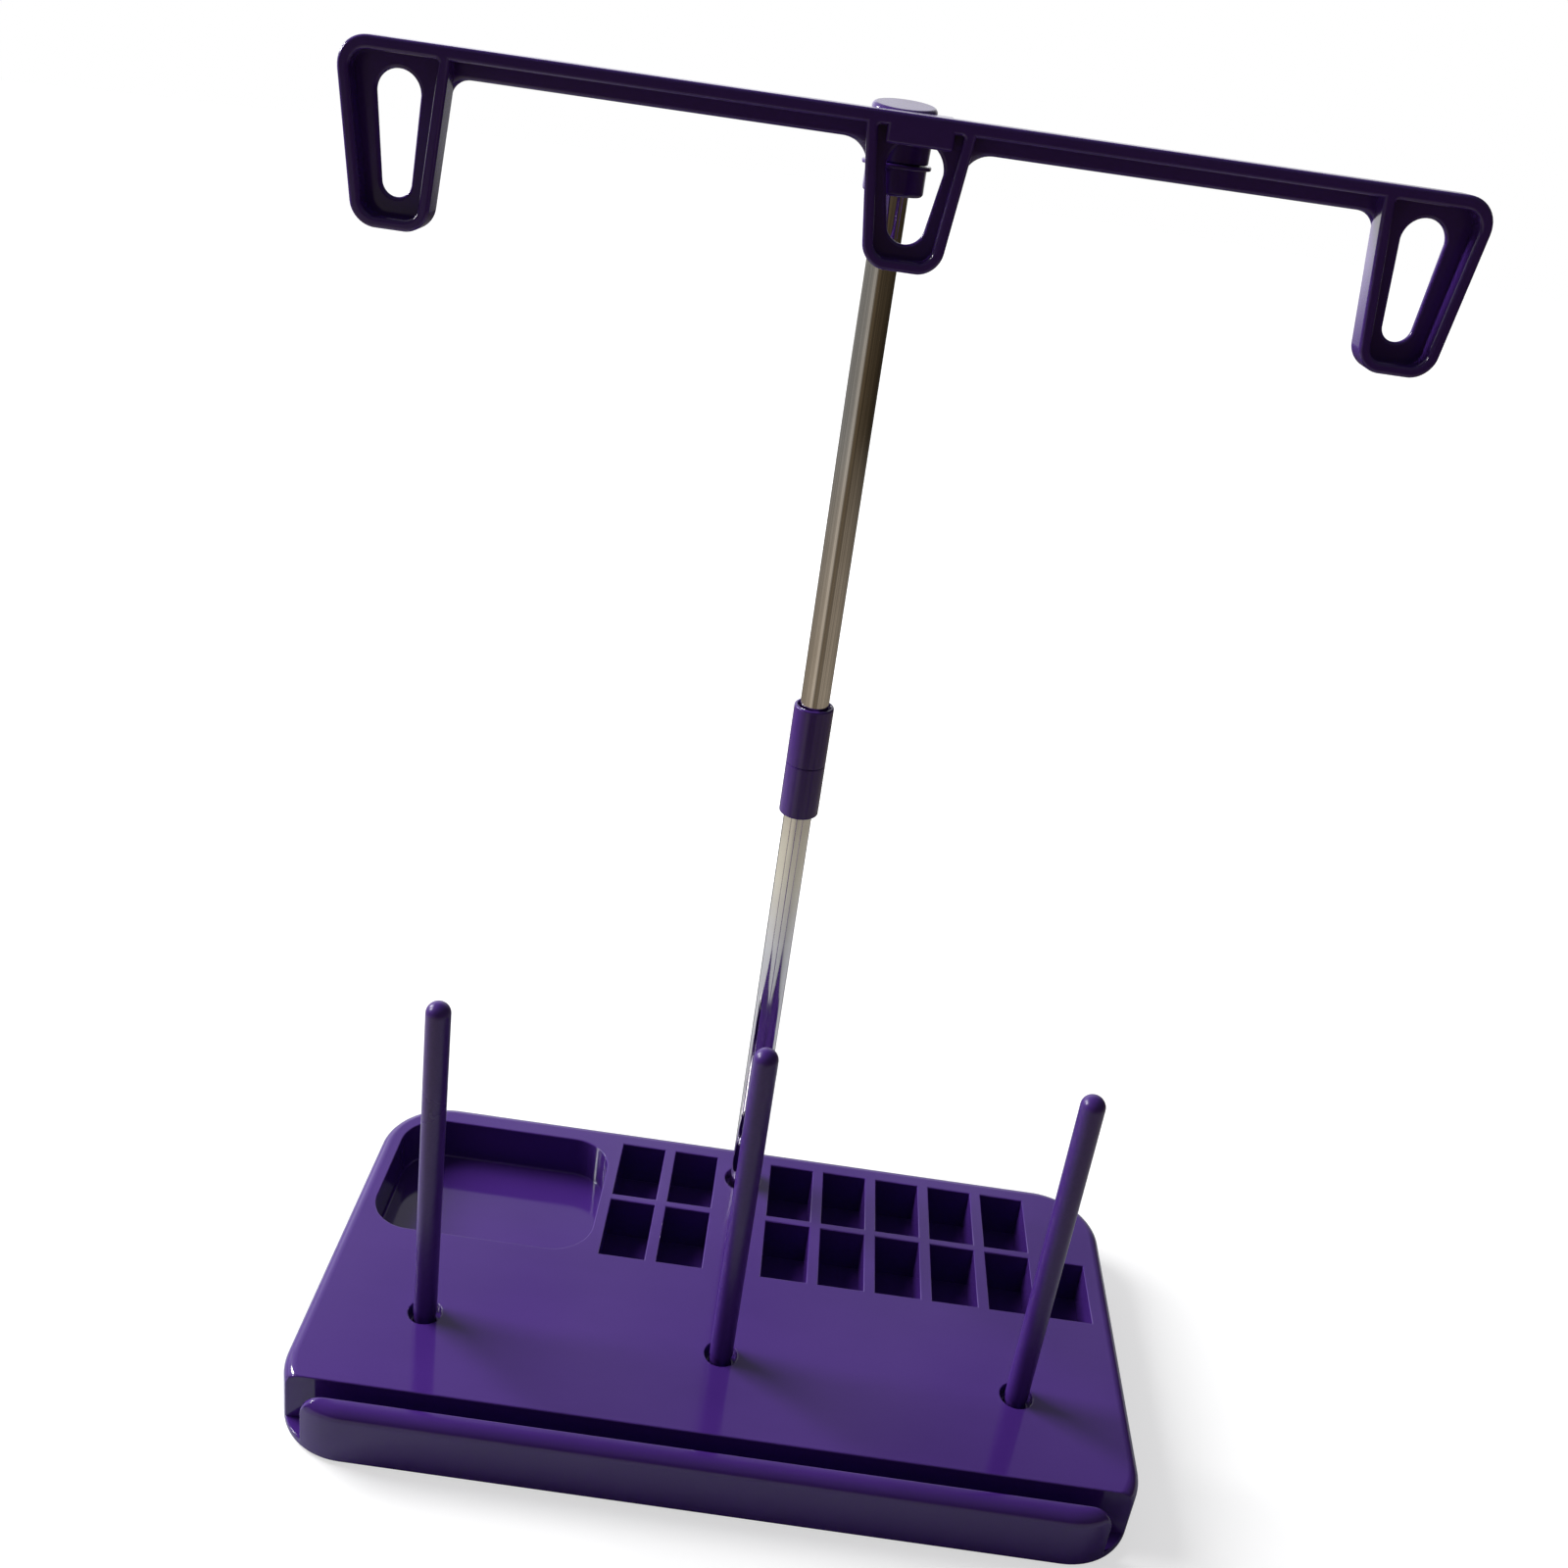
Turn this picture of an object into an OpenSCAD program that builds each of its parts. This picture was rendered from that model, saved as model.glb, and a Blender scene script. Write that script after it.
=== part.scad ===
// Thread rack: a moulded base with a bobbin store and a tray carries three spool pins and a
// tube mast, and a swivelling guide bar on the mast leads each thread up over its own pin.
// X runs to the right, Y to the back and Z up, in millimetres. The origin is on the table,
// under the middle of the base. Heights in the mast and bar sections start at the base's top.

/* [Base] */
// Width of the base
base_w = 228; // [226:1:300]
// Depth of the base, front to back
base_d = 128; // [122:1:180]
// Height of the base without its feet
base_h = 17; // [16.8:0.2:30]
// Corner radius of the base in plan
base_corner_r = 20; // [14:1:24]
// Radius of the rounded top edge
base_edge_r = 3.5; // [2:0.5:5]
// Thickness of the outer wall
wall_t = 2.4; // [1.8:0.1:3.2]
// Thickness of the top
top_t = 2.4; // [1.6:0.1:3.2]
// Thickness of the floors under the tray, pockets and sockets
floor_t = 1.5; // [1:0.1:2]

/* [Front slot] */
// Width of the slot
slot_w = 5.4; // [4.2:0.1:8]
// Depth of the slot below the top
slot_depth = 14.8; // [8:0.2:15.4]
// Thickness of the lip in front of the slot
lip_t = 4.8; // [4:0.1:7]
// Distance from each side of the base to the end of the lip
lip_end_gap = 8.5; // [6:0.5:16]
// Radius of the lip's upper end corners
lip_corner_r = 6; // [2:0.5:8]

/* [Tray] */
// Depth of the tray and of the bobbin pockets
store_depth = 13.8; // [8:0.2:14]
// Corner radius of the tray
tray_corner_r = 12; // [4:0.5:16]
// Rim between the tray and the side of the base
tray_side_rim = 6.1; // [4:0.1:16]
// Rim between the tray and the back of the base
tray_back_rim = 8.2; // [5:0.1:16]
// Length of the tray, front to back
tray_l = 50.4; // [34:0.2:54]

/* [Bobbin pockets] */
// Width of one pocket
pocket_w = 13.4; // [10:0.1:13.5]
// Length of one pocket, front to back
pocket_l = 24; // [18:0.5:25]
// Wall between two columns of pockets
pocket_gap_x = 3.6; // [1.6:0.1:3.7]
// Wall between the two rows of pockets
pocket_gap_y = 2.6; // [1.6:0.1:5]
// Rim between the back row and the back of the base
pocket_back_rim = 7.1; // [5:0.1:16]
// Distance from the mast's axis to the nearest pocket
pocket_mast_gap = 8.8; // [8.4:0.1:9]
// Columns of pockets to the left of the mast
columns_left = 2; // [1:1:3]
// Full columns of pockets to the right of the mast
columns_right = 5; // [1:1:5]

/* [Spool pins] */
// Diameter of a spool pin
pin_d = 6.4; // [4:0.1:8]
// Length of a spool pin above the base
pin_rise = 101.8; // [60:0.2:140]
// Distance between neighbouring spool pins
pin_pitch = 82.2; // [50:0.2:98]
// Distance from the front of the base to the row of pins
pin_inset = 38.2; // [24:0.2:50]
// Gap around a pin in the widened mouth of its socket
pin_mouth_gap = 1.3; // [0.5:0.1:2]

/* [Mast] */
// Outer diameter of the mast's tubes
tube_d = 7.9; // [6:0.1:9.5]
// Wall of the mast's tubes
tube_wall = 0.8; // [0.5:0.1:1.2]
// Distance from the back of the base to the mast's axis
mast_inset = 15.7; // [12:0.1:30]
// Gap around the mast in the widened mouth of its socket
mast_mouth_gap = 1.6; // [0.5:0.1:1.8]
// Height of the joint between the two tubes
seam_z = 147; // [60:1:200]
// Length of the lower collar
collar_lower_l = 15.4; // [8:0.1:40]
// Length of the upper collar
collar_upper_l = 17.3; // [8:0.1:40]
// Wall of both collars
collar_wall = 1.55; // [1:0.05:3]
// Length of the pin that joins the tubes
joining_pin_l = 44; // [20:1:100]

/* [Mast head] */
// Height of the bearing face that the guide bar turns on
head_z = 303.9; // [250:0.1:420]
// Length of the sleeve below its flange
sleeve_l = 6.1; // [4:0.1:20]
// Wall of the sleeve around the tube
sleeve_wall = 3.35; // [2:0.05:5]
// How far the flange stands out from the sleeve
flange_reach = 1; // [0.5:0.1:2]
// Thickness of the flange
flange_t = 1; // [0.6:0.1:2]
// Wall of the spigot around the tube
spigot_wall = 1.6; // [1:0.1:2]
// Height of the spigot
spigot_h = 8.6; // [6:0.1:9]

/* [Guide bar] */
// Distance from the bar's middle to the middle of an end loop
loop_pitch = 118.7; // [70:0.1:160]
// How far the bar's middle stands to the right of the mast's axis
bar_offset = 3.3; // [0:0.1:4]
// How far the middle loop stands to the right of the bar's middle
mid_loop_shift = 0.8; // [0:0.1:1]
// Depth of the bar, front to back
bar_depth = 8; // [5:0.1:12]
// Height of the bar between its loops
bar_h = 6.8; // [5:0.1:10]
// Thickness of the web at the back of the bar
web_t = 2; // [1.2:0.1:3]
// Thickness of the rib along the bar's top
bar_rib_t = 3.1; // [1.5:0.1:4]
// Thickness of the rim around each loop
rim_t = 2.6; // [1.5:0.1:3]
// Height of the end loops
end_loop_h = 41; // [34:0.5:60]
// Height of the middle loop
mid_loop_h = 34; // [30:0.5:60]
// Height of the bar's top above the bearing face
bar_top_rise = 11.5; // [10:0.1:12]
// Height of the hub's back above the bearing face
hub_h = 13.6; // [12.6:0.1:18]
// Angle by which the hub's top falls to the front
hub_slope = 7; // [0:0.5:8]

/* [Fastenings] */
// Thickness of the bottom cover
cover_t = 1.6; // [1.2:0.1:3]
// Height of the rubber feet below the base
foot_h = 1; // [0.5:0.1:3]
// Diameter of the rubber feet
foot_d = 12; // [8:0.5:14]
// Shank diameter of the cover screws
screw_d = 2.9; // [2:0.1:3.5]

/* [Hidden] */
$fn = 96;

// How far a cut runs past the face that it opens
cut = 1;
// Gap around pieces that are pushed together for good
fit_gap = 0.03;
// Gap around pieces that slide or turn in each other
running_gap = 0.06;
// Gap between faces that meet when a joint is closed
face_gap = 0.15;

// Levels of the base, from the table
under_z = foot_h;
top_z = foot_h + base_h;
slot_z = top_z - slot_depth;
store_z = top_z - store_depth;
floor_z = store_z - floor_t;

// Plan of the base
front_y = -base_d / 2;
back_y = base_d / 2;
lip_y = front_y + lip_t;
slot_back_y = lip_y + slot_w;
hollow_front_y = slot_back_y + wall_t;
lip_end_x = base_w / 2 - lip_end_gap;
mast_y = back_y - mast_inset;
pin_y = front_y + pin_inset;

// Plan of the store
column_pitch = pocket_w + pocket_gap_x;
row_pitch = pocket_l + pocket_gap_y;
back_row_y = back_y - pocket_back_rim - pocket_l;
front_row_y = back_row_y - row_pitch;
columns_left_x = -pocket_mast_gap - columns_left * column_pitch + pocket_gap_x;
tray_left_x = -base_w / 2 + tray_side_rim;
tray_right_x = columns_left_x - pocket_gap_x;
tray_back_y = back_y - tray_back_rim;
cell_wall = 1.8;

// Sockets. The lower end of each pin is thinner, and its full wall starts just above
// the base, so that a spool can sit right down.
socket_wall = 2;
pin_step = 0.25;
pin_step_rise = 0.4;
pin_end_r = pin_d / 2 - pin_step;
pin_bore_r = pin_end_r + running_gap;
pin_mouth_r = pin_d / 2 + pin_mouth_gap;
mast_bore_r = tube_d / 2 + running_gap;
mast_mouth_r = tube_d / 2 + mast_mouth_gap;
mouth_depth = 3;

// Cover, screws and feet
cover_gap = 0.15;
cover_top_z = under_z + cover_t;
screw_head_r = screw_d * 0.95;
screw_head_h = 1.2;
screw_l = 9;
boss_wall = 2;
screw_inset_x = 14;
screw_behind_pins = 20;
screw_before_pins = 13;
foot_recess = 0.6;
foot_inset_x = 24;
foot_inset_front = 26;
foot_inset_back = 11;
screw_spots = [
    [-(base_w / 2 - screw_inset_x), pin_y + screw_behind_pins],
    [base_w / 2 - screw_inset_x, pin_y + screw_behind_pins],
    [-pin_pitch / 2, pin_y - screw_before_pins],
    [pin_pitch / 2, pin_y - screw_before_pins],
    [0, front_row_y + pocket_l / 3],
    [base_w / 2 - screw_inset_x, back_row_y + pocket_l / 3]
];
foot_spots = [
    [-(base_w / 2 - foot_inset_x), front_y + foot_inset_front],
    [base_w / 2 - foot_inset_x, front_y + foot_inset_front],
    [-(base_w / 2 - foot_inset_x), back_y - foot_inset_back],
    [base_w / 2 - foot_inset_x, back_y - foot_inset_back]
];

// Mast
collar_r = tube_d / 2 + collar_wall;
tube_bore_r = tube_d / 2 - tube_wall;
seam_top_z = top_z + seam_z;
bearing_z = top_z + head_z;
sleeve_r = tube_d / 2 + sleeve_wall;
flange_r = sleeve_r + flange_reach;
spigot_r = tube_d / 2 + spigot_wall;
spigot_cap_t = 1.4;
tube_top_z = bearing_z + spigot_h - spigot_cap_t;

// Guide bar
bar_z = bearing_z + bar_top_rise;
bar_sleeve_gap = 0.5;
bar_back = flange_r + bar_sleeve_gap;
bar_front = bar_back + bar_depth;
loop_taper = 0.113;
side_stretch = sqrt(1 + loop_taper * loop_taper);
end_loop_half_w = 13.4;
mid_loop_half_w = 12.8;
mid_web_half_w = mid_loop_half_w - loop_taper * bar_h;
loop_outer_r = 7;
loop_bottom_r = 6;
loop_sharp_r = 0.8;
end_fillet_r = 4;
mid_fillet_r = 5.5;
block_half_w = 7.7;
hub_low_r = sleeve_r + 0.1;
hub_high_r = sleeve_r + 0.55;
hub_top_z = bearing_z + hub_h;

// Thread openings of the end loops and the middle loop: the drop from the bar's top and the
// radius of the round top, then the rise from the loop's bottom and the radius of the round bottom
end_eye = [6.4, 5.1, 6.8, 3.5];
mid_eye = [5.5, 6.7, 5.6, 4.5];

plastic = [0.33, 0.24, 0.55];
dark_plastic = [0.2, 0.14, 0.36];
chrome = [0.78, 0.77, 0.74];
steel = [0.62, 0.63, 0.65];
rubber = [0.09, 0.09, 0.1];

// Point pairs where the straight sides of an outline leave and meet its round corners.
// Each corner is [x, y, radius], anticlockwise.
function tangent_points(corners) = [
    for (i = [0 : len(corners) - 1])
        let (
            a = corners[i],
            b = corners[(i + 1) % len(corners)],
            run = [b.x - a.x, b.y - a.y],
            along = run / norm(run),
            lean = (a.z - b.z) / norm(run),
            side = sqrt(1 - lean * lean),
            out = [along.y * side + along.x * lean, along.y * lean - along.x * side]
        )
        each [[a.x, a.y] + a.z * out, [b.x, b.y] + b.z * out]
];

// Outline with round corners and straight sides. The corners stand a hair proud, so that
// each side ends inside its corner.
module rounded_outline(corners) {
    lap = 0.002;
    polygon(tangent_points(corners));
    for (c = corners)
        translate([c.x, c.y]) circle(c.z + lap);
}

// Rectangle with round corners, centred
module rounded_rect(w, d, r) {
    square([w - 2 * r, d], center = true);
    square([w, d - 2 * r], center = true);
    for (sx = [-1, 1], sy = [-1, 1])
        translate([sx * (w / 2 - r), sy * (d / 2 - r)]) circle(r);
}

// Half of a slab's section, from its middle out to a side with a round top edge
module edge_section(half, h, r) {
    square([half, h - r]);
    square([half - r, h]);
    translate([half - r, h - r]) circle(r);
}

// Block with round corners in plan and a round top edge
module rounded_block(w, d, h, corner_r, edge_r) {
    for (turn = [0, 90]) {
        length = turn == 0 ? w - 2 * corner_r : d - 2 * corner_r;
        half = turn == 0 ? d / 2 : w / 2;
        rotate([0, 0, turn]) rotate([90, 0, 90]) linear_extrude(length, center = true) {
            edge_section(half, h, edge_r);
            mirror([1, 0]) edge_section(half, h, edge_r);
        }
    }
    for (sx = [-1, 1], sy = [-1, 1])
        translate([sx * (w / 2 - corner_r), sy * (d / 2 - corner_r), 0])
            rotate_extrude() intersection() {
                edge_section(corner_r, h, edge_r);
                square([corner_r, h]);
            }
}

// Inside of the base's outer wall, behind the slot
module hollow_outline(gap) {
    difference() {
        rounded_rect(base_w - 2 * (wall_t + gap), base_d - 2 * (wall_t + gap), base_corner_r - wall_t - gap);
        translate([-base_w, hollow_front_y + gap - base_d])
            square([2 * base_w, base_d]);
    }
}

// Places of all pockets, each by its front left corner
function pocket_spots() = [
    for (i = [0 : columns_left - 1], y = [front_row_y, back_row_y])
        [columns_left_x + i * column_pitch, y],
    for (i = [0 : columns_right - 1], y = [front_row_y, back_row_y])
        [pocket_mast_gap + i * column_pitch, y],
    [pocket_mast_gap + columns_right * column_pitch, front_row_y]
];

module tray_outline(grow) {
    translate([(tray_left_x + tray_right_x) / 2, tray_back_y - tray_l / 2])
        rounded_rect(tray_right_x - tray_left_x + 2 * grow, tray_l + 2 * grow, tray_corner_r + grow);
}

module pocket_outlines(grow) {
    for (p = pocket_spots())
        translate([p.x - grow, p.y - grow])
            square([pocket_w + 2 * grow, pocket_l + 2 * grow]);
}

// Sockets and screw bosses that stand down from the top
module boss_outlines() {
    for (side = [-1, 0, 1])
        translate([side * pin_pitch, pin_y]) circle(pin_mouth_r + socket_wall);
    translate([0, mast_y]) circle(mast_mouth_r + socket_wall);
    for (s = screw_spots)
        translate(s) circle(screw_d / 2 + boss_wall);
}

// Space inside the base, around the store, the sockets and the bosses
module base_hollow() {
    translate([0, 0, floor_z]) linear_extrude(top_z - top_t - floor_z) difference() {
        hollow_outline(0);
        tray_outline(cell_wall);
        pocket_outlines(cell_wall);
        boss_outlines();
    }
    translate([0, 0, under_z - cut]) linear_extrude(floor_z - under_z + cut) hollow_outline(0);
}

// Everything that the store takes out of the top
module store_cut() {
    translate([0, 0, store_z]) linear_extrude(store_depth + cut) {
        tray_outline(0);
        pocket_outlines(0);
    }
}

// Slot along the front, open at both ends, and the material beyond the lip's ends
module slot_cut() {
    translate([-base_w, lip_y, slot_z]) cube([2 * base_w, slot_w, slot_depth + cut]);
    translate([0, lip_y + cut, 0]) rotate([90, 0, 0]) linear_extrude(lip_t + 2 * cut) difference() {
        translate([-base_w, slot_z]) square([2 * base_w, slot_depth + cut]);
        translate([0, under_z + (top_z - under_z) / 2])
            rounded_rect(2 * lip_end_x, top_z - under_z, lip_corner_r);
        translate([-lip_end_x, under_z]) square([2 * lip_end_x, base_h / 2]);
    }
}

// Blind socket with a widened mouth
module socket_cut(bore_r, mouth_r) {
    translate([0, 0, store_z]) cylinder(h = store_depth + cut, r = bore_r);
    translate([0, 0, top_z - mouth_depth]) cylinder(h = mouth_depth + cut, r = mouth_r);
}

module base_shell() {
    color(plastic) difference() {
        translate([0, 0, under_z])
            rounded_block(base_w, base_d, base_h, base_corner_r, base_edge_r);
        base_hollow();
        store_cut();
        slot_cut();
        for (side = [-1, 0, 1])
            translate([side * pin_pitch, pin_y, 0]) socket_cut(pin_bore_r, pin_mouth_r);
        translate([0, mast_y, 0]) socket_cut(mast_bore_r, mast_mouth_r);
        for (s = screw_spots)
            translate([s.x, s.y, floor_z - cut]) cylinder(h = screw_l + cut, r = screw_d / 2 + fit_gap);
    }
}

module bottom_cover() {
    color(dark_plastic) difference() {
        translate([0, 0, under_z]) linear_extrude(cover_t) hollow_outline(cover_gap);
        for (s = screw_spots)
            translate([s.x, s.y, under_z]) {
                translate([0, 0, -cut]) cylinder(h = cover_t + 2 * cut, r = screw_d / 2 + fit_gap);
                translate([0, 0, -cut]) cylinder(h = cut + screw_head_h, r = screw_head_r + fit_gap);
            }
        for (f = foot_spots)
            translate([f.x, f.y, under_z - cut]) cylinder(h = cut + foot_recess, r = foot_d / 2 + fit_gap);
    }
}

module cover_screws() {
    slot_half = 0.3;
    color(steel) for (s = screw_spots)
        translate([s.x, s.y, under_z]) difference() {
            union() {
                cylinder(h = screw_head_h, r = screw_head_r);
                cylinder(h = cover_t + screw_l - 1, r = screw_d / 2);
            }
            for (turn = [0, 90])
                rotate([0, 0, turn]) translate([-screw_d / 2, -slot_half, -cut])
                    cube([screw_d, 2 * slot_half, cut + screw_head_h / 2]);
        }
}

module foot(spot) {
    color(rubber) translate([spot.x, spot.y, 0]) cylinder(h = foot_h + foot_recess, r = foot_d / 2);
}

module spool_pin(side) {
    pin_r = pin_d / 2;
    color(plastic) translate([side * pin_pitch, pin_y, top_z]) {
        translate([0, 0, -store_depth]) cylinder(h = store_depth + pin_step_rise + cut, r = pin_end_r);
        translate([0, 0, pin_step_rise]) cylinder(h = pin_rise - pin_step_rise - pin_r, r = pin_r);
        translate([0, 0, pin_rise - pin_r]) sphere(pin_r);
    }
}

// Length of tube that stands on the given level
module tube(from_z, to_z) {
    translate([0, mast_y, from_z]) difference() {
        cylinder(h = to_z - from_z, r = tube_d / 2);
        translate([0, 0, -cut]) cylinder(h = to_z - from_z + 2 * cut, r = tube_bore_r);
    }
}

// Collar around the tube, open at one end through a wider ring
module collar(length) {
    ring_r = tube_d / 2 + collar_wall / 2;
    ring_l = 1.2;
    edge_r = 0.5;
    difference() {
        rotate_extrude() difference() {
            union() {
                square([collar_r, length - edge_r]);
                square([collar_r - edge_r, length]);
                translate([collar_r - edge_r, length - edge_r]) circle(edge_r);
            }
            square([tube_d / 2 + fit_gap, length]);
        }
        translate([0, 0, length - ring_l]) cylinder(h = ring_l + cut, r = ring_r);
    }
}

module mast_lower_tube() {
    color(chrome) tube(store_z, seam_top_z - face_gap / 2);
}

module collar_lower() {
    color(plastic) translate([0, mast_y, seam_top_z - face_gap / 2]) mirror([0, 0, 1])
        collar(collar_lower_l);
}

module joining_pin() {
    color(steel) translate([0, mast_y, seam_top_z - joining_pin_l / 2])
        cylinder(h = joining_pin_l, r = tube_bore_r - running_gap);
}

module mast_upper_tube() {
    color(chrome) tube(seam_top_z + face_gap / 2, tube_top_z);
}

module collar_upper() {
    color(plastic) translate([0, mast_y, seam_top_z + face_gap / 2]) collar(collar_upper_l);
}

module mast_top_sleeve() {
    edge_r = 1;
    color(plastic) translate([0, mast_y, bearing_z]) difference() {
        union() {
            rotate_extrude() {
                translate([0, edge_r - sleeve_l - flange_t])
                    square([sleeve_r, sleeve_l + flange_t - edge_r]);
                translate([0, -sleeve_l - flange_t]) square([sleeve_r - edge_r, edge_r]);
                intersection() {
                    translate([sleeve_r - edge_r, edge_r - sleeve_l - flange_t]) circle(edge_r);
                    translate([0, -sleeve_l - flange_t]) square([sleeve_r, sleeve_l]);
                }
            }
            translate([0, 0, -flange_t]) cylinder(h = flange_t, r = flange_r);
            cylinder(h = spigot_h, r = spigot_r);
        }
        translate([0, 0, -sleeve_l - flange_t - cut])
            cylinder(h = sleeve_l + flange_t + cut + spigot_h - spigot_cap_t, r = tube_d / 2 + fit_gap);
    }
}

// One corner of a loop: side is -1 or 1, inset is its distance in from the loop's outer line
function loop_corner(x, side, half_w, drop, r, inset) =
    [x + side * (half_w - loop_taper * drop - (r + inset) * side_stretch), -drop, r];

// Outline of a loop below the bar's top, or of the recess inside its rim
function loop_corners(x, half_w, h, r_left, r_right, inset, top_inset) = [
    loop_corner(x, -1, half_w, h - loop_bottom_r, loop_bottom_r - inset, inset),
    loop_corner(x, 1, half_w, h - loop_bottom_r, loop_bottom_r - inset, inset),
    loop_corner(x, 1, half_w, top_inset + r_right, r_right, inset),
    loop_corner(x, -1, half_w, top_inset + r_left, r_left, inset)
];

// Thread opening of a loop of height h: a wide round top over a narrower round bottom
function eye_corners(x, h, eye) = [
    [x, eye[2] + eye[3] - h, eye[3]],
    [x, -eye[0] - eye[1], eye[1]]
];

function end_loop(inset, top_inset, inner_r) =
    loop_corners(loop_pitch, end_loop_half_w, end_loop_h,
        loop_sharp_r, loop_outer_r - inner_r, inset, top_inset);

function mid_loop(inset, top_inset) =
    loop_corners(mid_loop_shift, mid_loop_half_w, mid_loop_h, loop_sharp_r, loop_sharp_r, inset, top_inset);

// Round corner between the web's lower edge and a loop, in the web's plane
module web_fillet(x, side, r) {
    bite = 2;
    translate([x, -bar_h]) difference() {
        translate([side < 0 ? -r : -bite, -r]) square([r + bite, r + bite]);
        translate([side * r, -r]) circle(r);
        translate([side < 0 ? -2 * r : r, -r]) square([r, r + bite]);
    }
}

// Rims and top rib, seen from the front
module bar_front_outline() {
    for (m = [0, 1])
        mirror([m, 0]) {
            difference() {
                rounded_outline(end_loop(0, 0, 0));
                rounded_outline(end_loop(rim_t, bar_rib_t, rim_t));
            }
        }
    difference() {
        rounded_outline(mid_loop(0, 0));
        rounded_outline(mid_loop(rim_t, bar_rib_t));
    }
    translate([-loop_pitch, -bar_rib_t]) square([2 * loop_pitch, bar_rib_t]);
}

// Thin web at the back, with its three thread openings
module bar_web_outline() {
    difference() {
        union() {
            translate([-loop_pitch, -bar_h]) square([2 * loop_pitch, bar_h]);
            for (m = [0, 1])
                mirror([m, 0]) {
                    rounded_outline(end_loop(0, 0, 0));
                    web_fillet(loop_pitch - end_loop_half_w + loop_taper * bar_h, -1, end_fillet_r);
                }
            rounded_outline(mid_loop(0, 0));
            for (side = [-1, 1])
                web_fillet(mid_loop_shift + side * mid_web_half_w, side, mid_fillet_r);
        }
        for (m = [0, 1])
            mirror([m, 0]) rounded_outline(eye_corners(loop_pitch, end_loop_h, end_eye));
        rounded_outline(eye_corners(mid_loop_shift, mid_loop_h, mid_eye));
    }
}

// Hub outside: a slight cone, higher than the hub, below a top that falls to the front
module hub_body() {
    rise = hub_top_z - bearing_z - face_gap;
    cone_h = rise + cut;
    cone_top_r = hub_low_r + (hub_high_r - hub_low_r) * cone_h / rise;
    difference() {
        translate([0, 0, bearing_z + face_gap]) cylinder(h = cone_h, r1 = hub_low_r, r2 = cone_top_r);
        translate([0, hub_high_r, hub_top_z]) rotate([hub_slope, 0, 0])
            translate([-hub_h, -3 * hub_h, 0]) cube([2 * hub_h, 4 * hub_h, hub_h]);
    }
}

module guide_bar() {
    color(plastic) translate([0, mast_y, 0]) difference() {
        union() {
            translate([bar_offset, -bar_back, bar_z]) rotate([90, 0, 0]) {
                linear_extrude(bar_depth) bar_front_outline();
                linear_extrude(web_t) bar_web_outline();
            }
            translate([bar_offset + mid_loop_shift - block_half_w, -bar_front, bar_z - bar_h])
                cube([2 * block_half_w, bar_front - spigot_r / 2, bar_h]);
            hub_body();
        }
        translate([0, 0, bearing_z - cut])
            cylinder(h = spigot_h + cut + 2 * face_gap, r = spigot_r + running_gap);
    }
}

base_shell();
bottom_cover();
cover_screws();
foot(foot_spots[0]);  // foot_front_left
foot(foot_spots[1]);  // foot_front_right
foot(foot_spots[2]);  // foot_back_left
foot(foot_spots[3]);  // foot_back_right
spool_pin(-1);  // spool_pin_left
spool_pin(0);  // spool_pin_middle
spool_pin(1);  // spool_pin_right
mast_lower_tube();
collar_lower();
joining_pin();
mast_upper_tube();
collar_upper();
mast_top_sleeve();
guide_bar();
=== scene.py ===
# Thread rack: its looks, built piece by piece in the order in which the rack is put together.
# Everything is in metres: X runs to the right, Y to the back and Z up from the table.

import math

import bmesh
import bpy
from mathutils import Matrix, Vector


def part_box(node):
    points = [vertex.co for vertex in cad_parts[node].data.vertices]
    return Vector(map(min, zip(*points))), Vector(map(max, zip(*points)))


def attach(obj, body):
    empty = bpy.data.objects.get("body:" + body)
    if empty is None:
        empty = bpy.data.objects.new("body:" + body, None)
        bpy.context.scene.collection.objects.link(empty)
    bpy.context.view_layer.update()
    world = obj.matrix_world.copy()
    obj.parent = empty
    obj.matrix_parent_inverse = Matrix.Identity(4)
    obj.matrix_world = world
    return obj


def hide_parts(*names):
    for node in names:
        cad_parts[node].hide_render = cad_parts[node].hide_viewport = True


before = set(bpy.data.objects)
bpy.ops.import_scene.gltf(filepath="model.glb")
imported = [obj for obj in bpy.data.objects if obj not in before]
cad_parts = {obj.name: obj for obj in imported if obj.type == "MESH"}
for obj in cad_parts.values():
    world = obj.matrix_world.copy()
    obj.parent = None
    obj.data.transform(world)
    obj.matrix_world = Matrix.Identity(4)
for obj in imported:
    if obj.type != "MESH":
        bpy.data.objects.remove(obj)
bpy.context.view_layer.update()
mm = 0.001


# Base
#
# One injection moulding in glossy purple plastic: a low box with round corners, hollow from
# below. A tray, bobbin pockets and four sockets are sunk in its top, and a thin lip stands in
# front of a slot along the front edge. All its outer edges are broken by a small radius.

base_low, base_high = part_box("base_shell")
base_top = base_high.z
base_corner_r = 20 * mm
base_edge_r = 3.5 * mm
outer_wall = 2.4 * mm
top_wall = 2.4 * mm
floor_wall = 1.5 * mm
cell_wall = 1.8 * mm
soft_edge = 0.4 * mm

# A cut runs this far past the face that it opens
past = 1 * mm
tiny = 1e-6
sharp_angle = math.radians(35)


def block(name, low, high):
    """A box between two corners, as a new object with its place in its mesh."""
    bpy.ops.object.select_all(action="DESELECT")
    low, high = Vector(low), Vector(high)
    bpy.ops.mesh.primitive_cube_add(size=1, location=(low + high) / 2, scale=high - low)
    piece = bpy.context.object
    piece.name = name
    bpy.ops.object.transform_apply()
    # Faces of two blocks that meet have to lie in exactly the same plane
    for point in piece.data.vertices:
        point.co = [high[i] if point.co[i] > (low[i] + high[i]) / 2 else low[i] for i in range(3)]
    return piece


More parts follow.
